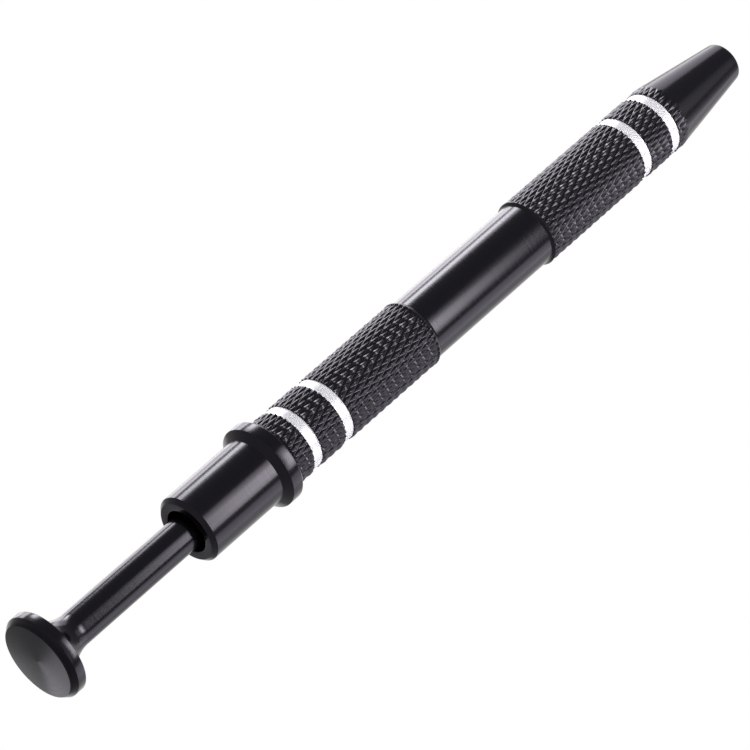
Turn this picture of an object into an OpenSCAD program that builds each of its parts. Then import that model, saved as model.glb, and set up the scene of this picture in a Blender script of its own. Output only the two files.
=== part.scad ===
// Four-claw pick-up pen for lifting integrated circuits and other small parts.
// It stands on its thumb button, nose up. Pressing the button pushes a rod through
// the barrel, and four sprung wire claws come out of the nose and open.
// Millimetres, +Z from the button to the nose, origin at the centre of the button's face.

/* [Plunger] */
// Diameter of the thumb button
button_d = 10.6; // [8:0.1:16]
// Diameter of the button's flat face
button_face_d = 9.5; // [6:0.1:15]
// Height of the bevel between the face and the rim
button_bevel = 0.75; // [0.2:0.05:2]
// Height of the button's straight rim
button_rim = 1.2; // [0.6:0.1:4]
// Diameter of the stem
stem_d = 4.2; // [3:0.1:4.9]
// Radius of the flare between the button and the stem
stem_flare = 2.9; // [0.5:0.1:5]
// How far the button can be pressed
travel = 17; // [8:0.5:24]
// Straight stem still showing with the button fully pressed
press_reserve = 1.75; // [0.5:0.05:6]

/* [Rear cap] */
// Diameter of the cap's collar
cap_d = 8.5; // [7.5:0.1:12]
// Length of the collar behind the flange
cap_len = 11.2; // [6:0.1:20]
// Chamfer on the collar's rear edge
cap_chamfer = 0.5; // [0.1:0.05:1]
// Radial play of the stem in the cap's bore
stem_play = 0.65; // [0.05:0.05:0.8]
// How far the cap's flange stands out from the grips
flange_rise = 0.9; // [0.5:0.05:3]
// Thickness of the flange
flange_len = 2.9; // [1.6:0.1:6]
// Height of the bevel on each side of the flange
flange_bevel = 0.7; // [0.2:0.05:0.8]
// Length of the threaded spigot that screws into the barrel
spigot_len = 8.5; // [4:0.1:16]
// Length of the relief groove between the spigot's thread and the flange
relief_len = 0.8; // [0.4:0.1:2]
// Depth of the relief groove
relief_depth = 0.2; // [0.05:0.05:0.3]

/* [Barrel] */
// Diameter over the knurled grips
grip_d = 8.7; // [8.3:0.1:12]
// Length of the rear grip
rear_grip_len = 24; // [18:0.1:40]
// Length of the smooth waist, with its two tapers
waist_len = 20.8; // [8:0.1:40]
// Length of the front grip
front_grip_len = 24.6; // [18:0.1:40]
// Depth of the waist below the grips
waist_step = 0.35; // [0.1:0.05:0.6]
// Length of the taper at the rear end of the waist
rear_taper = 0.85; // [0.3:0.05:3]
// Length of the taper at the front end of the waist
front_taper = 0.75; // [0.3:0.05:3]
// Wall of the barrel at the waist
barrel_wall = 0.85; // [0.6:0.05:1.05]

/* [Bright rings] */
// Width of each bright ring
ring_w = 1.45; // [0.5:0.05:3]
// Depth of each ring below the grip
ring_depth = 0.22; // [0.05:0.01:0.3]
// Distance from one ring of a pair to the next
ring_pitch = 5.3; // [3.5:0.1:8]
// Distance from the flange to the first ring
rear_ring_setback = 2.5; // [0.5:0.1:6]
// Distance from the last ring to the cone
front_ring_setback = 0.95; // [0.3:0.05:4]

/* [Nose] */
// Length of the cone
nose_len = 12.9; // [8:0.1:24]
// Diameter of the hole in the nose
nose_bore_d = 4; // [3.3:0.1:4.8]
// Wall of the nose at its tip
nose_wall = 0.55; // [0.3:0.05:1.5]
// Radius of the nose's front edge
nose_round = 0.4; // [0.1:0.05:0.5]
// Chamfer where the hole opens in the nose's face
nose_break = 0.05; // [0.02:0.01:0.1]

/* [Piston and rod] */
// Length of the piston's bearing land
piston_len = 3.5; // [3.2:0.1:8]
// Length of the boss that centres the spring
boss_len = 1.5; // [0.5:0.1:4]
// Depth of the stem's seat in the piston
stem_seat = 3; // [1:0.1:3]
// Diameter of the push rod
rod_d = 2.4; // [1.6:0.1:2.9]
// Depth of the rod's seat in the stem
rod_seat = 8; // [3:0.5:15]

/* [Return spring] */
// Diameter of the spring's wire
spring_wire = 0.5; // [0.3:0.05:0.6]
// Number of turns
spring_turns = 15; // [8:1:20]

/* [Claws] */
// Diameter of a claw's wire
claw_wire = 0.5; // [0.3:0.05:0.6]
// Length of a claw along its shank
claw_len = 19; // [14:0.5:26]
// Bend radius of the hook, to the wire's centre
hook_bend = 0.5; // [0.4:0.05:0.6]
// Length of the ground point at the end of the hook
hook_point = 0.2; // [0.1:0.05:0.3]
// Space between two opposite points at rest
tip_gap = 0.84; // [0.6:0.02:1.2]
// How far the hooks lie behind the nose's face at rest
hook_hidden = 0.4; // [0.1:0.1:2]
// Radial space between the hooks and the nose's hole at rest
hook_gap = 0.35; // [0.3:0.05:0.5]
// Angle that a claw swings out at full travel
claw_swing = 7.8; // [3:0.1:8]

/* [Ferrule] */
// Length of the ferrule that holds the claws
ferrule_len = 9; // [7:0.5:14]
// Depth of the rod's seat in the ferrule
ferrule_seat = 4; // [2:0.5:5]
// Depth of the claws' socket, from their roots to its mouth
socket_len = 1; // [0.6:0.1:2]
// Depth of the crimp round the ferrule
crimp_depth = 0.35; // [0.1:0.05:0.5]

/* [Clearances] */
// Radial clearance of the piston and the ferrule in their bores
slide_gap = 0.1; // [0.03:0.01:0.15]
// Radial clearance of pieces that are screwed or pressed together
fit_gap = 0.02; // [0.01:0.01:0.05]
// End clearance between pieces that stop each other
end_gap = 0.1; // [0.05:0.01:0.3]
// Radial clearance of the spring in the barrel
spring_gap = 0.3; // [0.1:0.05:0.4]
// Radial clearance of the piston's boss in the spring
boss_gap = 0.15; // [0.05:0.05:0.3]
// Space between the claws' wires at their roots
wire_gap = 0.07; // [0.04:0.01:0.15]
// Radial play of the swung claws in the ferrule's mouth
socket_play = 0.15; // [0.05:0.05:0.3]

/* [Hidden] */

// Finishes
anodised = [0.10, 0.10, 0.115];
bright_steel = [0.72, 0.73, 0.75];
spring_steel = [0.55, 0.56, 0.58];
brass = [0.78, 0.62, 0.32];

// Roundness of turned pieces, and how far a cut runs past the face that it opens
round_fn = 96;
over = 1;

// Plunger, from the button's face upwards
button_r = button_d / 2;
stem_r = stem_d / 2;
rim_top = button_bevel + button_rim;
rim_lip = 0.2;
flare_r = min(stem_flare, button_r - stem_r - rim_lip);
stem_from = rim_top + flare_r;

// Rear cap
cap_r = cap_d / 2;
cap_from = stem_from + travel + press_reserve;
cap_bore_r = stem_r + stem_play;
cap_mouth_break = 0.1;
flange_from = cap_from + cap_len;
flange_r = grip_d / 2 + flange_rise;
flange_top = flange_from + flange_len;
flange_lip = 0.25;
spigot_top = flange_top + spigot_len;
spigot_chamfer = 0.3;

// Barrel: outside
grip_r = grip_d / 2;
waist_r = grip_r - waist_step;
barrel_from = flange_top;
waist_from = barrel_from + rear_grip_len;
waist_to = waist_from + waist_len;
cone_from = waist_to + front_grip_len;
nose_to = cone_from + nose_len;
nose_r = nose_bore_d / 2 + nose_wall;
cone_angle = atan2(grip_r - nose_r, nose_len);
barrel_edge = 0.15;

// Bright rings, each by the height of its lower edge
rear_ring = barrel_from + rear_ring_setback;
front_ring = cone_from - front_ring_setback - ring_w;
ring_heights = [rear_ring, rear_ring + ring_pitch, front_ring - ring_pitch, front_ring];

// Barrel: bores. The cap's spigot screws into a counterbore behind the main bore.
bore_d = 2 * (waist_r - barrel_wall);
thread_step = 0.35;
thread_relief = 0.3;
spigot_d = bore_d + 2 * thread_step;
counterbore_to = spigot_top + thread_relief;
lead_in = 0.15;

// Piston and rod
piston_d = bore_d - 2 * slide_gap;
piston_from = spigot_top + end_gap;
piston_top = piston_from + piston_len;
stem_to = piston_from + stem_seat;
rod_from = stem_to - rod_seat;
edge_break = 0.2;

// Claws: four bowed wires round the axis, each hooked inwards at its end
claw_r = claw_wire / 2;
claw_circle = (claw_wire + wire_gap) / sqrt(2);
hook_end = tip_gap / 2;
hook_at = nose_bore_d / 2 - hook_gap - claw_r;
bow_r = claw_len * claw_len / (2 * (hook_at - claw_circle));
bow_angle = claw_len / bow_r * 180 / PI;
shank_end = [claw_circle + bow_r * (1 - cos(bow_angle)), bow_r * sin(bow_angle)];
hook_centre = shank_end + hook_bend * [-cos(bow_angle), sin(bow_angle)];
claw_height = hook_centre[1] + hook_bend + claw_r;
claw_from = nose_to - hook_hidden - claw_height;

// Ferrule
ferrule_d = nose_bore_d - 2 * slide_gap;
ferrule_to = claw_from + socket_len;
ferrule_from = ferrule_to - ferrule_len;
socket_r = claw_circle + claw_r + socket_len * tan(claw_swing) + socket_play;
rod_to = ferrule_from + ferrule_seat;
crimp_len = 1.2;
crimp_at = (rod_to + claw_from - crimp_len) / 2;

// Spring seat: the step where the main bore meets the nose's hole
seat_step = 1;
spring_seat = ferrule_to - seat_step;
spring_r = bore_d / 2 - spring_gap - spring_wire / 2;
spring_from = piston_top + end_gap / 2;
spring_to = spring_seat - end_gap / 2;
boss_d = 2 * (spring_r - spring_wire / 2 - boss_gap);

// Space between the closed turns at the spring's ends, steps round its wire and along a turn
coil_gap = 0.02;
spring_sides = 8;
spring_steps = 18;

// Steps round a claw's wire, and along its shank and its hook
wire_sides = 12;
shank_steps = 8;
hook_steps = 8;

// A turned pin with its ends chamfered, from one height to another
module chamfered_pin(d, from, to, chamfer) {
  rotate_extrude($fn = round_fn)
    polygon([[0, from], [d / 2 - chamfer, from], [d / 2, from + chamfer],
             [d / 2, to - chamfer], [d / 2 - chamfer, to], [0, to]]);
}

// A hole on the axis, from one height to another
module axial_hole(d, from, to) {
  translate([0, 0, from])
    cylinder(d = d, h = to - from, $fn = round_fn);
}

// Half section of the button and stem: bevelled face, rim and flared neck
module plunger_profile() {
  difference() {
    union() {
      polygon([[0, 0], [button_face_d / 2, 0], [button_r, button_bevel],
               [button_r, rim_top], [0, rim_top]]);
      square([stem_r + flare_r, stem_from]);
      square([stem_r, stem_to]);
    }
    translate([stem_r + flare_r, stem_from])
      circle(r = flare_r, $fn = round_fn);
  }
}

module plunger() {
  color(anodised)
    difference() {
      rotate_extrude($fn = round_fn)
        plunger_profile();
      axial_hole(rod_d + 2 * fit_gap, rod_from, stem_to + over);
    }
}

// Collar, bevelled flange, relief groove and the spigot that screws into the barrel
module rear_cap() {
  spigot_r = spigot_d / 2 - fit_gap;
  relief_r = spigot_r - relief_depth;
  relief_top = flange_top + relief_len;
  color(anodised)
    rotate_extrude($fn = round_fn)
      polygon([[cap_bore_r + cap_mouth_break, cap_from], [cap_r - cap_chamfer, cap_from],
               [cap_r, cap_from + cap_chamfer], [cap_r, flange_from],
               [flange_r, flange_from + flange_bevel], [flange_r, flange_top - flange_bevel],
               [grip_r + flange_lip, flange_top], [relief_r, flange_top],
               [relief_r, relief_top - relief_depth], [spigot_r, relief_top],
               [spigot_r, spigot_top - spigot_chamfer], [spigot_r - spigot_chamfer, spigot_top],
               [cap_bore_r, spigot_top], [cap_bore_r, cap_from + cap_mouth_break]]);
}

// Half section of the barrel's outside. The nose's front edge is a true arc.
module barrel_profile() {
  round_z = nose_to - nose_round;
  round_x = grip_r - (nose_round + sin(cone_angle) * (round_z - cone_from)) / cos(cone_angle);
  tangent = [round_x, round_z] + nose_round * [cos(cone_angle), sin(cone_angle)];
  polygon([[0, barrel_from], [grip_r - barrel_edge, barrel_from], [grip_r, barrel_from + barrel_edge],
           [grip_r, waist_from], [waist_r, waist_from + rear_taper],
           [waist_r, waist_to - front_taper], [grip_r, waist_to],
           [grip_r, cone_from], tangent, [round_x, round_z], [round_x, nose_to], [0, nose_to]]);
  translate([round_x, round_z])
    circle(r = nose_round, $fn = round_fn);
}

// Half section of what is bored out: counterbore, main bore and the nose's hole
module bore_profile() {
  thread_r = spigot_d / 2;
  hole_r = nose_bore_d / 2;
  polygon([[0, barrel_from - over], [thread_r + lead_in, barrel_from - over],
           [thread_r + lead_in, barrel_from], [thread_r, barrel_from + lead_in],
           [thread_r, counterbore_to], [bore_d / 2, counterbore_to], [bore_d / 2, spring_seat],
           [hole_r, spring_seat], [hole_r, nose_to - nose_break], [hole_r + nose_break, nose_to],
           [hole_r + nose_break, nose_to + over], [0, nose_to + over]]);
}

module ring_cut(height) {
  rotate_extrude($fn = round_fn)
    translate([grip_r - ring_depth, height])
      square([over, ring_w]);
}

module barrel() {
  color(anodised)
    difference() {
      rotate_extrude($fn = round_fn)
        barrel_profile();
      for (height = ring_heights)
        ring_cut(height);
      rotate_extrude($fn = round_fn)
        bore_profile();
    }
}

// Brass piston on the stem's end: it stops at the cap and carries the spring
module piston() {
  color(brass)
    difference() {
      union() {
        chamfered_pin(piston_d, piston_from, piston_top, edge_break);
        chamfered_pin(boss_d, piston_top - over, piston_top + boss_len, edge_break);
      }
      axial_hole(stem_d + 2 * fit_gap, piston_from - over, stem_to);
      axial_hole(rod_d + 2 * fit_gap, piston_from, piston_top + boss_len + over);
    }
}

module push_rod() {
  color(bright_steel)
    chamfered_pin(rod_d, rod_from, rod_to, edge_break);
}

// A solid tube through rings of points, with flat ends
module tube(rings) {
  sides = len(rings[0]);
  last = len(rings) - 1;
  points = [for (ring = rings, point = ring) point];
  walls = [for (step = [0 : last - 1], side = [0 : sides - 1])
             let (next = (side + 1) % sides, here = step * sides)
             [here + side, here + next, here + next + sides, here + side + sides]];
  first_end = [for (side = [sides - 1 : -1 : 0]) side];
  last_end = [for (side = [0 : sides - 1]) last * sides + side];
  polyhedron(points, concat(walls, [first_end, last_end]));
}

// Height of the wire's centre after so many turns: closed end turns, open ones between
function coil_height(turn) =
  let (closed = spring_wire + coil_gap,
       open = (spring_to - spring_from - spring_wire - 2 * closed) / (spring_turns - 2))
  spring_from + spring_wire / 2
    + closed * min(turn, 1)
    + open * min(max(turn - 1, 0), spring_turns - 2)
    + closed * max(turn - spring_turns + 1, 0);

function coil_ring(turn) =
  [for (side = [0 : spring_sides - 1])
     let (around = 360 * side / spring_sides,
          r = spring_r + spring_wire / 2 * cos(around))
     [r * cos(360 * turn), r * sin(360 * turn), coil_height(turn) + spring_wire / 2 * sin(around)]];

module return_spring() {
  color(spring_steel)
    tube([for (step = [0 : spring_turns * spring_steps]) coil_ring(step / spring_steps)]);
}

// Brass ferrule crimped round the claws' tails, with the socket that they spring from
module claw_ferrule() {
  color(brass)
    difference() {
      chamfered_pin(ferrule_d, ferrule_from, ferrule_to, edge_break);
      axial_hole(rod_d + 2 * fit_gap, ferrule_from - over, rod_to);
      axial_hole(2 * socket_r, claw_from - end_gap, ferrule_to + over);
      rotate_extrude($fn = round_fn)
        translate([ferrule_d / 2 - crimp_depth, crimp_at])
          square([over, crimp_len]);
    }
}

// Ring of the claw's wire at [x, z], on a wire that leans so far from +Z towards +X
function wire_ring(at, lean, r) =
  [for (side = [0 : wire_sides - 1])
     let (around = 360 * side / wire_sides)
     [at[0] + r * cos(around) * cos(lean),
      -r * sin(around),
      claw_from + at[1] - r * cos(around) * sin(lean)]];

// The bowed shank of a claw, from its root outwards
function shank_rings() =
  [for (step = [0 : shank_steps])
     let (lean = bow_angle * step / shank_steps)
     wire_ring([claw_circle + bow_r * (1 - cos(lean)), bow_r * sin(lean)], lean, claw_r)];

// The hook that turns in towards the axis, then its ground point
function hook_rings() =
  [for (step = [1 : hook_steps])
     let (lean = bow_angle - (90 + bow_angle) * step / hook_steps)
     wire_ring(hook_centre + hook_bend * [cos(lean), -sin(lean)], lean, claw_r)];

function point_rings() =
  let (top = hook_centre[1] + hook_bend)
  [wire_ring([hook_end + hook_point, top], -90, claw_r),
   wire_ring([hook_end, top], -90, claw_r / 2)];

// A claw at one of the four quarters round the axis
module claw(quarter) {
  color(spring_steel)
    rotate([0, 0, 90 * quarter])
      tube(concat(shank_rings(), hook_rings(), point_rings()));
}

plunger();
rear_cap();
barrel();
piston();
push_rod();
return_spring();
claw_ferrule();
claw(0);  // claw_1
claw(1);  // claw_2
claw(2);  // claw_3
claw(3);  // claw_4
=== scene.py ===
"""Looks of a four-claw pick-up pen: black anodised turned pieces, knurled grips with bright rings,
a coil spring and sprung wire claws. Lengths are in millimetres until a mesh is made, and MM turns
them into metres. The pen stands on its button, so +Z runs from the button to the nose."""
import math

import bpy
import numpy as np
from mathutils import Matrix, Vector


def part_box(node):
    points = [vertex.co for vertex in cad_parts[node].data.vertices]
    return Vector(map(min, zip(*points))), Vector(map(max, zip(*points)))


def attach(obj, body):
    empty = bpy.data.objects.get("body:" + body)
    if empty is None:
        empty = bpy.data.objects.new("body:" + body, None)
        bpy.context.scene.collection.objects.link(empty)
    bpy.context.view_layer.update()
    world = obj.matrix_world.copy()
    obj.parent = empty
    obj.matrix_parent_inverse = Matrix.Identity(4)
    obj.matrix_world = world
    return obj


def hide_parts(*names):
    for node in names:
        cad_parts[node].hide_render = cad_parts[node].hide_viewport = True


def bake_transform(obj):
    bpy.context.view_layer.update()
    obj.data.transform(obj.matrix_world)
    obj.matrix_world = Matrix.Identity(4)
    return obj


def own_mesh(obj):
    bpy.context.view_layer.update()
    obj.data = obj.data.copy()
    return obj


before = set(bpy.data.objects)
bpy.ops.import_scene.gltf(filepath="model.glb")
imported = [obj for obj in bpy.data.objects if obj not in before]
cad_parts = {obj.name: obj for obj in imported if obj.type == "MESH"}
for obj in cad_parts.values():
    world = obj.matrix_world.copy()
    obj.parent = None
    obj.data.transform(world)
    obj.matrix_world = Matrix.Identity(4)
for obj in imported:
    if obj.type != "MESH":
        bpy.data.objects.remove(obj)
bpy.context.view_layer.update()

MM = 0.001
TURN = 2 * math.pi


# Sizes of the pen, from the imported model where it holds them

def top_of(node):
    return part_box(node)[1].z / MM


def bottom_of(node):
    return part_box(node)[0].z / MM


BUTTON_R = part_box("plunger")[1].x / MM
FACE_R = 4.75
BEVEL_TOP = 0.75
RIM_TOP = 1.95
FLARE_R = 4.6
FLARE_HEIGHT = 3.9
STEM_R = 2.1
STEM_TOP = top_of("plunger")
ROD_R = 1.22
ROD_FROM = bottom_of("push_rod")

CAP_FROM = bottom_of("rear_cap")
CAP_TOP = top_of("rear_cap")
CAP_R = 4.25
CAP_CHAMFER = 0.5
CAP_BORE_R = 2.75
FLANGE_FROM = CAP_FROM + 11.2
FLANGE_TOP = bottom_of("barrel")
FLANGE_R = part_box("rear_cap")[1].x / MM
FLANGE_BEVEL = 0.7
FLANGE_LIP_R = 4.6
SPIGOT_R = 3.48
SPIGOT_CHAMFER = 0.3
RELIEF_DEPTH = 0.2
RELIEF_TOP = FLANGE_TOP + 0.8

BARREL_FROM = bottom_of("barrel")
NOSE_TOP = top_of("barrel")
GRIP_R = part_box("barrel")[1].x / MM
WAIST_R = 4.0
WAIST_FROM = BARREL_FROM + 24.0
WAIST_TO = WAIST_FROM + 20.8
REAR_TAPER = 0.5
FRONT_TAPER = 0.3
CONE_FROM = WAIST_TO + 24.6
NOSE_R = 2.55
NOSE_ROUND = 0.5
NOSE_BORE_R = 2.0
NOSE_BREAK = 0.05
BORE_R = 3.15
THREAD_R = 3.5
THREAD_TOP = 46.5
LEAD_IN = 0.15
SPRING_SEAT = 99.83

# Knurl: two families of grooves, by grooves round the grip and by grooves a millimetre along it. It
# starts at a shoulder over the two distances of its run-out, and fades at the cone, over two
# heights, to a share of its depth. Its crests blend softly where the families cross.
KNURL_A = (33, 0.483)
KNURL_B = (-38, 0.318)
KNURL_DEPTH = 0.22
KNURL_END = CONE_FROM + 1.0
KNURL_RUN_OUT = (0.02, 0.1)
CONE_FADE = (CONE_FROM - 0.95, CONE_FROM + 0.7)
CONE_FADE_TO = 0.4
CREST_SOFTNESS = 0.08
CREST_POWER = 1.1

# Mesh of the barrel: columns for each groove, the step between rows, and the distances below which
# two heights or two radii count as the same
COLUMNS_PER_GROOVE = 16
ROW_STEP = 0.18
SAME_HEIGHT = 0.001
SAME_R = 1e-4

# Bright rings, by their lower edges: a flat floor, and a short slope up to the knurl above it
RINGS = [BARREL_FROM + 2.5, BARREL_FROM + 7.8, CONE_FROM - 7.7, CONE_FROM - 2.4]
RING_W = 1.45
RING_R = 4.125
RING_SLOPE = 0.12


# Mesh building

def smooth(obj, angle=32):
    """Smooth shading with creases, and normals that follow the large faces beside a rounded edge."""
    mesh = obj.data
    mesh.shade_smooth()
    mesh.set_sharp_from_angle(angle=math.radians(angle))
    normals = obj.modifiers.new("face_weighted_normals", "WEIGHTED_NORMAL")
    normals.keep_sharp = True
    return obj


def new_object(name, vertices, faces):
    """An object from vertices in millimetres and faces."""
    mesh = bpy.data.meshes.new(name)
    mesh.from_pydata((np.asarray(vertices) * MM).tolist(), [], faces)
    mesh.validate()
    obj = bpy.data.objects.new(name, mesh)
    bpy.context.scene.collection.objects.link(obj)
    return obj


def grid_faces(rows, columns, closed_rows=False, shift=0):
    """Quads of a grid whose columns close round, and whose rows may close too: then the last row's
    columns meet the first row's columns that lie shift further."""
    i = np.arange(rows if closed_rows else rows - 1)[:, None]
    j = np.arange(columns)[None, :]
    up, right = (i + 1) % rows, (j + 1) % columns
    ahead = np.where(i == rows - 1, shift, 0)
    quads = np.stack([i * columns + j, i * columns + right, up * columns + (right + ahead) % columns,
                      up * columns + (j + ahead) % columns], axis=-1)
    return quads.reshape(-1, 4).tolist()


def rounded(outline, steps=4):
    """Points (r, z) of a section, from corners (r, z) or (r, z, fillet radius)."""
    corners = [Vector(p[:2]) for p in outline]
    points = []
    for k, corner in enumerate(outline):
        fillet = corner[2] if len(corner) > 2 else 0
        here = corners[k]
        if not fillet:
            points.append(tuple(here))
            continue
        back = (corners[k - 1] - here).normalized()
        ahead = (corners[(k + 1) % len(corners)] - here).normalized()
        half = back.angle(ahead) / 2
        centre = here + (back + ahead).normalized() * fillet / math.sin(half)
        start = here + back * fillet / math.tan(half) - centre
        end = here + ahead * fillet / math.tan(half) - centre
        sweep = math.pi - 2 * half
        for s in range(steps + 1):
            a, b = math.sin(sweep * (1 - s / steps)), math.sin(sweep * s / steps)
            points.append(tuple(centre + (start * a + end * b) / math.sin(sweep)))
    return points


def arc(centre, radius, first, last, steps):
    """Points (r, z) on an arc between two angles in degrees."""
    angles = [math.radians(first + (last - first) * s / steps) for s in range(steps + 1)]
    return [(centre[0] + radius * math.cos(a), centre[1] + radius * math.sin(a)) for a in angles]


def turned(name, points, sides=240):
    """A closed solid of revolution about Z. Its section's points (r, z) run anticlockwise, and a
    section that starts and ends on the axis makes a solid piece."""
    on_axis = points[0][0] < 1e-9
    rim = points[1:-1] if on_axis else points
    angle = np.arange(sides) * TURN / sides
    r, z = np.array(rim)[:, 0, None], np.array(rim)[:, 1, None]
    xyz = np.stack([r * np.cos(angle), r * np.sin(angle), z + 0 * angle], axis=-1).reshape(-1, 3)
    faces = grid_faces(len(rim), sides, closed_rows=not on_axis)
    if on_axis:
        first, last = len(xyz), len(xyz) + 1
        xyz = np.vstack([xyz, [0, 0, points[0][1]], [0, 0, points[-1][1]]])
        top = (len(rim) - 1) * sides
        faces += [[first, (j + 1) % sides, j] for j in range(sides)]
        faces += [[last, top + j, top + (j + 1) % sides] for j in range(sides)]
    return smooth(new_object(name, xyz, faces))


def swept_wire(name, centres, radii, sides=16):
    """A round wire along centres (n x 3, mm), with a radius at each and flat ends."""
    along = np.gradient(centres, axis=0)
    along /= np.linalg.norm(along, axis=1)[:, None]
    off_the_wire = [0.31, 0.57, 0.76]
    side = np.cross(along[0], off_the_wire)
    rings = []
    for centre, direction, radius in zip(centres, along, radii):
        side = side - direction * (side @ direction)
        side /= np.linalg.norm(side)
        other = np.cross(direction, side)
        angle = np.arange(sides)[:, None] * TURN / sides
        rings.append(centre + radius * (np.cos(angle) * side + np.sin(angle) * other))
    xyz = np.concatenate(rings)
    faces = grid_faces(len(centres), sides)
    faces.append(list(range(sides))[::-1])
    faces.append([len(xyz) - sides + j for j in range(sides)])
    return smooth(new_object(name, xyz, faces), angle=50)


# Knurled barrel

def knurl(theta, z):
    """Height of the knurl, 0 in the grooves and 1 on the crests, at angles and heights."""
    def ridge(family):
        phase = family[0] * theta + TURN * family[1] * z
        return np.abs(np.mod(phase / TURN, 1) * 2 - 1)

    a, b = 1 - ridge(KNURL_A), 1 - ridge(KNURL_B)
    overlap = np.maximum(CREST_SOFTNESS - np.abs(a - b), 0)
    low = np.minimum(a, b) - overlap ** 2 / (4 * CREST_SOFTNESS)
    low = np.clip(low, 0, 1)
    return 1 - (1 - low) ** CREST_POWER


def envelope(z):
    """Radius of the barrel's plain outside, which the knurl is cut into."""
    heights = [BARREL_FROM, WAIST_FROM, WAIST_FROM + REAR_TAPER, WAIST_TO - FRONT_TAPER, WAIST_TO,
               CONE_FROM, NOSE_TOP]
    radii = [GRIP_R, GRIP_R, WAIST_R, WAIST_R, GRIP_R, GRIP_R, NOSE_R]
    return np.interp(z, heights, radii)


def rows_between(edges, step, gap=0.012):
    """Heights from the first edge to the last, about a step apart, with two close rows at each edge
    between."""
    rows = []
    for low, high in zip(edges[:-1], edges[1:]):
        low = low + gap if rows else low
        high = high - gap if high != edges[-1] else high
        rows.append(np.linspace(low, high, max(2, round((high - low) / step) + 1)))
    return np.concatenate(rows)


def all_corners(flags):
    """For each quad of a closed grid, whether all four of its corners are flagged."""
    pair = flags & np.roll(flags, -1, axis=1)
    return pair & np.roll(pair, -1, axis=0)


def ring_edges(rings):
    """Heights at which rings start, start to slope and end."""
    return [low + up for low in rings for up in (0, RING_W - RING_SLOPE, RING_W)]


def barrel_piece(name, heights, grip, run_out, front, inner):
    """Part of the barrel as one closed solid. heights are the rows of its outside, the knurl lies
    between the two heights of grip and runs out at the height run_out, front holds more outside
    points (r, z), and inner the bore's points (r, z) from the front back. The columns follow the
    grooves of the first family, so that the mesh doesn't cut across them. Faces on a bright ring
    get the second material, and plain turned ones the third."""
    columns = KNURL_A[0] * COLUMNS_PER_GROOVE
    lean = -TURN * KNURL_A[1] / KNURL_A[0]
    turned_by = lean * (np.clip(heights, *grip) - grip[0])
    theta = (np.arange(columns) * TURN / columns)[None, :] + turned_by[:, None]
    z = np.broadcast_to(heights[:, None], theta.shape)
    plain = envelope(heights)[:, None]
    depth = KNURL_DEPTH * np.interp(np.abs(heights - run_out), KNURL_RUN_OUT, [0, 1])
    depth = (depth * np.interp(heights, CONE_FADE, [1, CONE_FADE_TO]))[:, None]
    teeth = GRIP_R - depth * (1 - knurl(theta, z))
    within = (heights > grip[0] - SAME_HEIGHT) & (heights < grip[1] + SAME_HEIGHT)
    r = np.where(within[:, None], np.minimum(plain, teeth), plain)
    ringed = np.zeros(r.shape, bool)
    for low in RINGS:
        high = low + RING_W
        cut = np.interp(z, [high - RING_SLOPE, high], [RING_R, GRIP_R])
        here = (z > low) & (z < high)
        ringed |= here & (cut <= r)
        r = np.where(here, np.minimum(r, cut), r)
    rest = front + inner
    rest_r = np.array([[p[0]] for p in rest])
    rest_z = np.array([[p[1]] for p in rest])
    rest_theta = np.broadcast_to(theta[-1], (len(rest), columns))
    r = np.vstack([r, np.broadcast_to(rest_r, rest_theta.shape)])
    z = np.vstack([z, np.broadcast_to(rest_z, rest_theta.shape)])
    theta = np.vstack([theta, rest_theta])
    xyz = np.stack([r * np.cos(theta), r * np.sin(theta), z], axis=-1).reshape(-1, 3)
    rows = len(r)
    shift = round(turned_by[-1] * columns / TURN)
    faces = grid_faces(rows, columns, closed_rows=True, shift=shift)
    obj = new_object(name, xyz, faces)
    bright = np.zeros((rows, columns), bool)
    bright[:len(ringed)] = ringed
    plain_turned = np.ones((rows, columns), bool)
    plain_turned[:len(ringed)] = ~within[:, None] | (plain < teeth - SAME_R)
    finish = np.where(all_corners(plain_turned), 2, 0)
    finish[all_corners(bright)] = 1
    obj.data.polygons.foreach_set("material_index", finish.ravel().astype(np.int32))
    return smooth(obj, angle=60)


# Materials

BLACK = (0.0012, 0.001, 0.002)
KNURL_BLACK = (0.0015, 0.0012, 0.0026)
KNURL_WORN = (0.012, 0.011, 0.012)
BLACK_TINT = (0.87, 0.83, 1)
BLACK_SPECULAR = 0.25
MICROMETRE = 1e-6


def material(name, base, metallic, roughness, specular=0.5, tint=(1, 1, 1), anisotropic=0.0):
    """A Principled material; returns the material, its nodes, its links and its shader. Where it is
    anisotropic, its tangents run round the pen."""
    made = bpy.data.materials.new(name)
    made.use_nodes = True
    nodes, links = made.node_tree.nodes, made.node_tree.links
    shader = nodes["Principled BSDF"]
    shader.inputs["Base Color"].default_value = (*base, 1)
    shader.inputs["Metallic"].default_value = metallic
    shader.inputs["Roughness"].default_value = roughness
    shader.inputs["Specular IOR Level"].default_value = specular
    shader.inputs["Specular Tint"].default_value = (*tint, 1)
    if anisotropic:
        shader.inputs["Anisotropic"].default_value = anisotropic
        shader.inputs["Anisotropic Rotation"].default_value = 0.25
        tangent = nodes.new("ShaderNodeTangent")
        tangent.direction_type = "RADIAL"
        tangent.axis = "Z"
        links.new(tangent.outputs["Tangent"], shader.inputs["Tangent"])
    return made, nodes, links, shader


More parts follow.
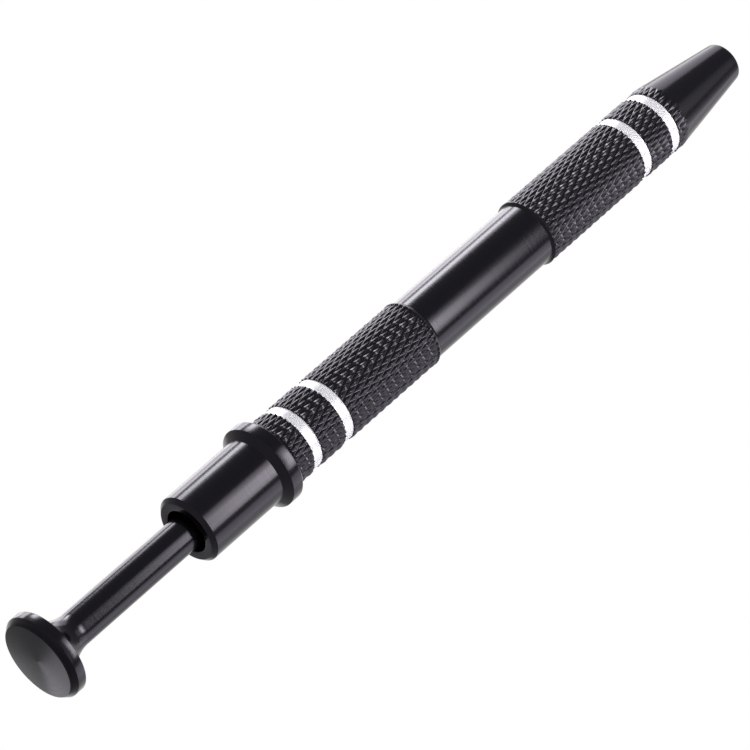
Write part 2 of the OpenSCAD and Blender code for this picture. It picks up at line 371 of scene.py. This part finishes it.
def radius_and_height(nodes, links):
    """Sockets with the distance from the pen's axis and the height, in millimetres."""
    place = nodes.new("ShaderNodeTexCoord")
    flat = nodes.new("ShaderNodeVectorMath")
    flat.operation = "MULTIPLY"
    flat.inputs[1].default_value = (1 / MM, 1 / MM, 0)
    length = nodes.new("ShaderNodeVectorMath")
    length.operation = "LENGTH"
    parts = nodes.new("ShaderNodeSeparateXYZ")
    height = nodes.new("ShaderNodeMath")
    height.operation = "MULTIPLY"
    height.inputs[1].default_value = 1 / MM
    links.new(place.outputs["Object"], flat.inputs[0])
    links.new(flat.outputs[0], length.inputs[0])
    links.new(place.outputs["Object"], parts.inputs[0])
    links.new(parts.outputs["Z"], height.inputs[0])
    return length.outputs["Value"], height.outputs[0]


def tool_marks(nodes, links, shader, marks_per_mm, depth_um, roughness, spread, dish=0.0):
    """Fine turning marks: a noise that varies along the section, as bump and as roughness, which
    lies within spread of its middle value. dish adds a cone of that slope to the bump."""
    radius, height = radius_and_height(nodes, links)
    along = nodes.new("ShaderNodeMath")
    along.operation = "ADD"
    noise = nodes.new("ShaderNodeTexNoise")
    noise.noise_dimensions = "1D"
    noise.inputs["Scale"].default_value = marks_per_mm
    noise.inputs["Detail"].default_value = 3
    links.new(radius, along.inputs[0])
    links.new(height, along.inputs[1])
    links.new(along.outputs[0], noise.inputs["W"])
    bump = nodes.new("ShaderNodeBump")
    bump.inputs["Strength"].default_value = 1
    bump.inputs["Distance"].default_value = depth_um * MICROMETRE
    cone = nodes.new("ShaderNodeMath")
    cone.operation = "MULTIPLY_ADD"
    cone.inputs[1].default_value = dish * MM / (depth_um * MICROMETRE)
    links.new(radius, cone.inputs[0])
    links.new(noise.outputs["Fac"], cone.inputs[2])
    links.new(cone.outputs[0], bump.inputs["Height"])
    links.new(bump.outputs["Normal"], shader.inputs["Normal"])
    rough = nodes.new("ShaderNodeMapRange")
    rough.inputs["From Min"].default_value = 0.3
    rough.inputs["From Max"].default_value = 0.7
    rough.inputs["To Min"].default_value = roughness - spread
    rough.inputs["To Max"].default_value = roughness + spread
    links.new(noise.outputs["Fac"], rough.inputs["Value"])
    links.new(rough.outputs[0], shader.inputs["Roughness"])


def black_turned(name, dish=0.0):
    """Black anodise on turned metal. dish tilts the shading as on a shallow cone, by its slope."""
    made, nodes, links, shader = material(
        name, BLACK, metallic=0, roughness=0.18, specular=BLACK_SPECULAR, tint=BLACK_TINT)
    tool_marks(nodes, links, shader, marks_per_mm=3.5, depth_um=0.18, roughness=0.18, spread=0.02,
               dish=dish)
    return made


def black_knurled():
    """Black anodise that is thinner and lighter on the knurl's crests."""
    made, nodes, links, shader = material(
        "black_anodised_knurled", KNURL_BLACK, metallic=0, roughness=0.17,
        specular=BLACK_SPECULAR, tint=BLACK_TINT)
    radius, _ = radius_and_height(nodes, links)
    place = nodes.new("ShaderNodeTexCoord")
    grain = nodes.new("ShaderNodeTexNoise")
    grain.inputs["Scale"].default_value = 9000
    grain.inputs["Detail"].default_value = 2
    links.new(place.outputs["Object"], grain.inputs["Vector"])
    crest = nodes.new("ShaderNodeMapRange")
    crest.inputs["From Min"].default_value = GRIP_R - 0.5 * KNURL_DEPTH
    crest.inputs["From Max"].default_value = GRIP_R
    links.new(radius, crest.inputs["Value"])
    worn = nodes.new("ShaderNodeMath")
    worn.operation = "MULTIPLY"
    links.new(crest.outputs[0], worn.inputs[0])
    links.new(grain.outputs["Fac"], worn.inputs[1])
    colour = nodes.new("ShaderNodeMix")
    colour.data_type = "RGBA"
    colour.inputs["A"].default_value = (*KNURL_BLACK, 1)
    colour.inputs["B"].default_value = (*KNURL_WORN, 1)
    links.new(worn.outputs[0], colour.inputs["Factor"])
    links.new(colour.outputs["Result"], shader.inputs["Base Color"])
    bump = nodes.new("ShaderNodeBump")
    bump.inputs["Distance"].default_value = 4 * MICROMETRE
    links.new(grain.outputs["Fac"], bump.inputs["Height"])
    links.new(bump.outputs["Normal"], shader.inputs["Normal"])
    return made


def bare_aluminium():
    """The bare floors of the rings, fine turned and partly matt."""
    made, nodes, links, shader = material(
        "bare_turned_aluminium", (0.63, 0.635, 0.68), metallic=0.15, roughness=0.3, anisotropic=0.3)
    tool_marks(nodes, links, shader, marks_per_mm=5, depth_um=0.1, roughness=0.28, spread=0.05)
    return made


def turned_metal(name, base, roughness):
    """Bare metal of the pieces inside, with coarser tool marks."""
    made, nodes, links, shader = material(
        name, base, metallic=1, roughness=roughness, anisotropic=0.5)
    tool_marks(nodes, links, shader, marks_per_mm=4, depth_um=0.8, roughness=roughness, spread=0.05)
    return made


def drawn_wire():
    """Spring steel wire with a faint mottling from drawing and heat."""
    made, nodes, links, shader = material(
        "drawn_spring_wire", (0.50, 0.50, 0.52), metallic=1, roughness=0.28)
    place = nodes.new("ShaderNodeTexCoord")
    mottle = nodes.new("ShaderNodeTexNoise")
    mottle.inputs["Scale"].default_value = 1500
    mottle.inputs["Detail"].default_value = 4
    colour = nodes.new("ShaderNodeMix")
    colour.data_type = "RGBA"
    colour.inputs["A"].default_value = (0.40, 0.40, 0.42, 1)
    colour.inputs["B"].default_value = (0.58, 0.58, 0.60, 1)
    links.new(place.outputs["Object"], mottle.inputs["Vector"])
    links.new(mottle.outputs["Fac"], colour.inputs["Factor"])
    links.new(colour.outputs["Result"], shader.inputs["Base Color"])
    rough = nodes.new("ShaderNodeMapRange")
    rough.inputs["To Min"].default_value = 0.2
    rough.inputs["To Max"].default_value = 0.38
    links.new(mottle.outputs["Fac"], rough.inputs["Value"])
    links.new(rough.outputs[0], shader.inputs["Roughness"])
    return made


# The pieces

def add_piece(obj, body, node, materials):
    """Gives a piece its materials, the body that it rides on and the node that it replaces. A piece
    given no body is left unattached."""
    for m in materials:
        obj.data.materials.append(m)
    if body:
        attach(obj, body)
    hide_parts(node)


def make_plunger(black, black_face):
    """The button and its stem, with a flare between them. The button's flat face has a material of
    its own."""
    flare_base = 180 + math.degrees(math.asin(FLARE_HEIGHT / FLARE_R))
    section = rounded([
        (0, 0), (FACE_R, 0, 0.09), (BUTTON_R, BEVEL_TOP, 0.1), (BUTTON_R, RIM_TOP, 0.08)])
    section += arc((STEM_R + FLARE_R, RIM_TOP + FLARE_HEIGHT), FLARE_R, flare_base, 180, 16)
    section += rounded([
        (STEM_R, STEM_TOP, 0.1), (ROD_R, STEM_TOP, 0.05), (ROD_R, ROD_FROM), (0, ROD_FROM)])
    button = turned("thumb_button", section)
    face_limit = 0.005 * MM
    for face in button.data.polygons:
        face.material_index = int(face.center.z < face_limit)
    add_piece(button, "plunger", "plunger", [black, black_face])


def make_rear_cap(black):
    """The collar with its chamfered mouth, the flange, and the spigot with its relief groove."""
    section = rounded([
        (CAP_BORE_R, CAP_TOP, 0.05), (CAP_BORE_R, CAP_FROM, 0.12),
        (CAP_R - CAP_CHAMFER, CAP_FROM, 0.06), (CAP_R, CAP_FROM + CAP_CHAMFER, 0.08),
        (CAP_R, FLANGE_FROM, 0.06),
        (FLANGE_R, FLANGE_FROM + FLANGE_BEVEL, 0.12), (FLANGE_R, FLANGE_TOP - FLANGE_BEVEL, 0.12),
        (FLANGE_LIP_R, FLANGE_TOP, 0.05), (SPIGOT_R - RELIEF_DEPTH, FLANGE_TOP),
        (SPIGOT_R - RELIEF_DEPTH, RELIEF_TOP - RELIEF_DEPTH), (SPIGOT_R, RELIEF_TOP),
        (SPIGOT_R, CAP_TOP - SPIGOT_CHAMFER), (SPIGOT_R - SPIGOT_CHAMFER, CAP_TOP)])
    cap = turned("collar_and_flange", section)
    add_piece(cap, "barrel", "rear_cap", [black])


def make_barrel(knurled, bright, black):
    """The rear grip, and the waist, front grip and nose, which meet at the waist's rear corner."""
    split = WAIST_FROM + REAR_TAPER
    heights = rows_between([BARREL_FROM, *ring_edges(RINGS[:2]), WAIST_FROM, split], ROW_STEP)
    inner = [(BORE_R, split), (BORE_R, THREAD_TOP), (THREAD_R, THREAD_TOP),
             (THREAD_R, BARREL_FROM + LEAD_IN), (THREAD_R + LEAD_IN, BARREL_FROM)]
    rear = barrel_piece("rear_grip", heights, (BARREL_FROM, WAIST_FROM), WAIST_FROM, [], inner)
    add_piece(rear, "barrel", "barrel", [knurled, bright, black])

    # A row just before the shoulder keeps the waist's shading straight up to it
    shoulder = WAIST_TO - FRONT_TAPER
    before_shoulder = shoulder - 0.02
    waist_step = 6
    after_knurl = KNURL_END + 0.2
    cone_end = NOSE_TOP - NOSE_ROUND * 0.9
    edges = [shoulder, WAIST_TO, *ring_edges(RINGS[2:]), CONE_FROM, KNURL_END]
    heights = np.concatenate([
        rows_between([split, before_shoulder], waist_step),
        rows_between(edges, ROW_STEP),
        np.linspace(after_knurl, cone_end, 12)])
    # The nose's round touches the cone, and starts a few degrees past the cone's last row
    lean = math.atan2(GRIP_R - NOSE_R, NOSE_TOP - CONE_FROM)
    round_z = NOSE_TOP - NOSE_ROUND
    tangent_r = float(envelope(round_z + NOSE_ROUND * math.sin(lean)))
    round_r = tangent_r - NOSE_ROUND * math.cos(lean)
    round_from = math.degrees(lean) + 4
    front = arc((round_r, round_z), NOSE_ROUND, round_from, 90, 6)
    inner = [(NOSE_BORE_R + NOSE_BREAK, NOSE_TOP), (NOSE_BORE_R, NOSE_TOP - NOSE_BREAK),
             (NOSE_BORE_R, SPRING_SEAT), (BORE_R, SPRING_SEAT), (BORE_R, split)]
    nose = barrel_piece(
        "front_grip_and_nose", heights, (WAIST_TO, KNURL_END), WAIST_TO, front, inner)
    add_piece(nose, "barrel", "barrel", [knurled, bright, black])


def make_spring(wire):
    """A coil with closed end turns."""
    turns, steps_per_turn, mean_r, wire_r = 15, 40, 2.6, 0.25
    low, high = bottom_of("return_spring") + wire_r, top_of("return_spring") - wire_r
    closed = 2 * wire_r + 0.02
    t = np.linspace(0, turns, turns * steps_per_turn + 1)
    height = np.interp(t, [0, 1, turns - 1, turns], [low, low + closed, high - closed, high])
    angle = TURN * t
    centres = np.stack([mean_r * np.cos(angle), mean_r * np.sin(angle), height], axis=-1)
    obj = swept_wire("coil_spring", centres, np.full(len(t), wire_r), sides=14)
    add_piece(obj, "return_spring", "return_spring", [wire])
    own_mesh(obj)


def make_claws(wire):
    """Four bowed wires, hooked inwards."""
    wire_r, root_r, length, hook_r, hook_x = 0.25, 0.403, 19.0, 0.5, 1.4
    bow_r = length * length / (2 * (hook_x - root_r))
    lean = length / bow_r
    root_z = bottom_of("claw_1")
    s = np.linspace(0, lean, 60)
    shank = np.stack([root_r + bow_r * (1 - np.cos(s)), bow_r * np.sin(s)], axis=-1)
    centre = shank[-1] + hook_r * np.array([-math.cos(lean), math.sin(lean)])
    turn = np.linspace(lean, -math.pi / 2, 24)[1:]
    hook = centre + hook_r * np.stack([np.cos(turn), -np.sin(turn)], axis=-1)
    tip_x = [0.62, 0.52, 0.42]
    tip_r = [wire_r, wire_r * 0.8, wire_r * 0.5]
    path = np.vstack([shank, hook, [[x, hook[-1][1]] for x in tip_x]])
    radii = np.full(len(path), wire_r)
    radii[-len(tip_r):] = tip_r
    for k in range(4):
        a = k * math.pi / 2
        centres = np.stack([path[:, 0] * math.cos(a), path[:, 0] * math.sin(a), path[:, 1] + root_z],
                           axis=-1)
        obj = swept_wire(f"wire_claw_{k + 1}", centres, radii)
        add_piece(obj, None, f"claw_{k + 1}", [wire])
        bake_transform(obj)


# Floor, light and camera

# The backdrop's half width in degrees, the world's strength, the floor's height in millimetres and
# its grey, and the length in metres below which a ray passes through it
BACKDROP_DEGREES = 62
WORLD_LEVEL = 0.45
FLOOR_LEVEL = -0.02
FLOOR_ALBEDO = 0.42
FLOOR_UNSEEN_WITHIN = 0.0003

# Each softbox: the azimuths of its sides from -Y towards +X and the elevations of its edges, in
# degrees as seen from the target on the pen's axis, its distance in metres, its radiance, and its
# colour. Those in front overlap, and are near enough to dim towards the nose.
WHITE = (1, 1, 1)
WARM = (1, 0.97, 0.93)
COOL = (0.97, 0.92, 1)
SOFTBOXES = {
    "left_strip": (-105, -90, 24, 36, 0.7, 11.0, WHITE),
    "left_glow": (-110, -82, 24, 42, 0.7, 2.8, WHITE),
    "left_soft": (-140, -76, 36, 60, 0.7, 2.2, COOL),
    "left_back": (-128, -117, 10, 36, 0.7, 3.2, COOL),
    "behind_left": (-160, -117, 20, 40, 0.7, 1.9, COOL),
    "front_1": (-2, 53, 21, 33, 0.3, 3.2, WARM),
    "front_2": (4, 53, 21, 33, 0.3, 3.0, WARM),
    "front_3": (11, 50, 21, 33, 0.3, 3.8, WARM),
    "front_4": (16, 42, 21, 33, 0.3, 4.0, WARM),
    "front_5": (21, 37, 21, 33, 0.3, 4.0, WARM),
    "front_6": (25, 33, 21, 33, 0.3, 3.4, WARM),
    "front_high": (12, 52, 38, 55, 0.7, 0.9, WARM),
    "front_low": (20, 55, 0, 14, 0.7, 3.0, WHITE),
    "right": (71, 105, 5, 50, 0.7, 1.15, COOL),
    "right_low": (72, 98, 5, 38, 0.7, 0.65, COOL),
    "right_back": (100, 118, 5, 60, 0.7, 0.8, COOL),
    "below_back": (150, 179, -60, -18, 0.7, 1.3, COOL),
}
RADIANCE_PER_WATT = 0.25
LAMP_TARGET = Vector((0, 0, 0.06))


def one_sided(shader, nodes, links, near=0.0):
    """Shows a staged piece's material on its front only, and not to rays shorter than near metres."""
    facing = nodes.new("ShaderNodeNewGeometry")
    rays = nodes.new("ShaderNodeLightPath")
    short = nodes.new("ShaderNodeMath")
    short.operation = "LESS_THAN"
    short.inputs[1].default_value = near
    links.new(rays.outputs["Ray Length"], short.inputs[0])
    hidden = nodes.new("ShaderNodeMath")
    hidden.operation = "MAXIMUM"
    links.new(facing.outputs["Backfacing"], hidden.inputs[0])
    links.new(short.outputs[0], hidden.inputs[1])
    clear = nodes.new("ShaderNodeBsdfTransparent")
    mix = nodes.new("ShaderNodeMixShader")
    links.new(hidden.outputs[0], mix.inputs[0])
    links.new(shader.outputs[0], mix.inputs[1])
    links.new(clear.outputs[0], mix.inputs[2])
    links.new(mix.outputs[0], nodes["Material Output"].inputs["Surface"])


def make_floor():
    """A pale floor, seen only from above. The button's face, which stands on it, sees light through
    it from below."""
    radius, sides = 2500.0, 96
    angle = np.arange(sides) * TURN / sides
    height = np.full(sides, FLOOR_LEVEL)
    rim = np.stack([radius * np.cos(angle), radius * np.sin(angle), height], axis=-1)
    floor = new_object("floor", rim, [list(range(sides))])
    made, nodes, links, shader = material(
        "pale_floor", [FLOOR_ALBEDO] * 3, metallic=0, roughness=0.9, specular=0.1)
    one_sided(shader, nodes, links, near=FLOOR_UNSEEN_WITHIN)
    floor.data.materials.append(made)


def make_backdrop():
    """A white wall that curves round the back of the pen, seen only from its inside. It is white to
    the camera, to reflections and through glass, and a softer light on everything."""
    radius, low, high, columns = 1200.0, -300.0, 3200.0, 48
    half_width = math.radians(BACKDROP_DEGREES)
    angle = np.linspace(math.pi / 2 - half_width, math.pi / 2 + half_width, columns + 1)
    edge = np.stack([radius * np.cos(angle), radius * np.sin(angle)], axis=-1)
    xyz = np.vstack([np.column_stack([edge, np.full(columns + 1, z)]) for z in (low, high)])
    quads = [[j + 1, j, j + columns + 1, j + columns + 2] for j in range(columns)]
    wall = new_object("backdrop", xyz, quads)
    made = bpy.data.materials.new("white_backdrop")
    made.use_nodes = True
    nodes, links = made.node_tree.nodes, made.node_tree.links
    nodes.remove(nodes["Principled BSDF"])
    glow = nodes.new("ShaderNodeEmission")
    rays = nodes.new("ShaderNodeLightPath")
    seen = nodes.new("ShaderNodeMath")
    seen.operation = "MAXIMUM"
    shown = nodes.new("ShaderNodeMath")
    shown.operation = "MAXIMUM"
    strength = nodes.new("ShaderNodeMapRange")
    strength.inputs["To Min"].default_value = WORLD_LEVEL
    strength.inputs["To Max"].default_value = 1.0
    links.new(rays.outputs["Is Camera Ray"], seen.inputs[0])
    links.new(rays.outputs["Is Glossy Ray"], seen.inputs[1])
    links.new(seen.outputs[0], shown.inputs[0])
    links.new(rays.outputs["Is Transmission Ray"], shown.inputs[1])
    links.new(shown.outputs[0], strength.inputs["Value"])
    links.new(strength.outputs[0], glow.inputs["Strength"])
    one_sided(glow, nodes, links)
    wall.data.materials.append(made)


def make_world():
    """An even white world."""
    world = bpy.data.worlds.new("studio")
    bpy.context.scene.world = world
    world.use_nodes = True
    background = world.node_tree.nodes["Background"]
    background.inputs["Color"].default_value = (1, 1, 1, 1)
    background.inputs["Strength"].default_value = WORLD_LEVEL


def make_lamps():
    """The softboxes, as area lamps that face the target and that the camera doesn't see."""
    for name, (left, right, low, high, distance, radiance, colour) in SOFTBOXES.items():
        a, e = math.radians((left + right) / 2), math.radians((low + high) / 2)
        out = Vector((math.sin(a) * math.cos(e), -math.cos(a) * math.cos(e), math.sin(e)))
        lamp = bpy.data.lights.new(name, "AREA")
        lamp.shape = "RECTANGLE"
        lamp.size = 2 * distance * math.tan(math.radians((right - left) / 2)) * math.cos(e)
        lamp.size_y = 2 * distance * math.tan(math.radians((high - low) / 2))
        lamp.energy = radiance * lamp.size * lamp.size_y / RADIANCE_PER_WATT
        lamp.color = colour
        obj = bpy.data.objects.new(name, lamp)
        obj.location = LAMP_TARGET + out * distance
        obj.rotation_mode = "QUATERNION"
        obj.rotation_quaternion = out.to_track_quat("Z", "Y")
        obj.visible_camera = False
        bpy.context.scene.collection.objects.link(obj)


def make_camera():
    """The photograph's camera, as fitted to the pen's outline and edges."""
    right = Vector((0.65940, -0.38068, 0.64828))
    up = Vector((-0.75179, -0.33390, 0.56861))
    back = right.cross(up)
    place = Vector((0.00072, -0.42850, -0.19695))
    camera = bpy.data.cameras.new("camera")
    camera.lens = 211.57
    camera.sensor_width = 36
    camera.clip_start = 0.01
    obj = bpy.data.objects.new("camera", camera)
    obj.matrix_world = Matrix.Translation(place) @ Matrix((right, up, back)).transposed().to_4x4()
    bpy.context.scene.collection.objects.link(obj)
    bpy.context.scene.camera = obj


black = black_turned("black_anodised_turned")
black_face = black_turned("black_anodised_faced", dish=-0.05)
knurled = black_knurled()
bright = bare_aluminium()
brass = turned_metal("turned_brass", (0.74, 0.53, 0.24), 0.24)
steel = turned_metal("ground_steel", (0.60, 0.61, 0.63), 0.18)
wire = drawn_wire()

make_plunger(black, black_face)
make_rear_cap(black)
make_barrel(knurled, bright, black)
make_spring(wire)
make_claws(wire)
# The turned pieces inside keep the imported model's meshes
for node, finish, slot_name in (("piston", brass, "brass"), ("claw_ferrule", brass, "brass"),
                                ("push_rod", steel, "bright_steel")):
    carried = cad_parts[node]
    carried.data.materials.clear()
    carried.data.materials.append(finish)
make_floor()
make_backdrop()
make_world()
make_lamps()
make_camera()
bpy.context.scene.view_settings.view_transform = "Standard"
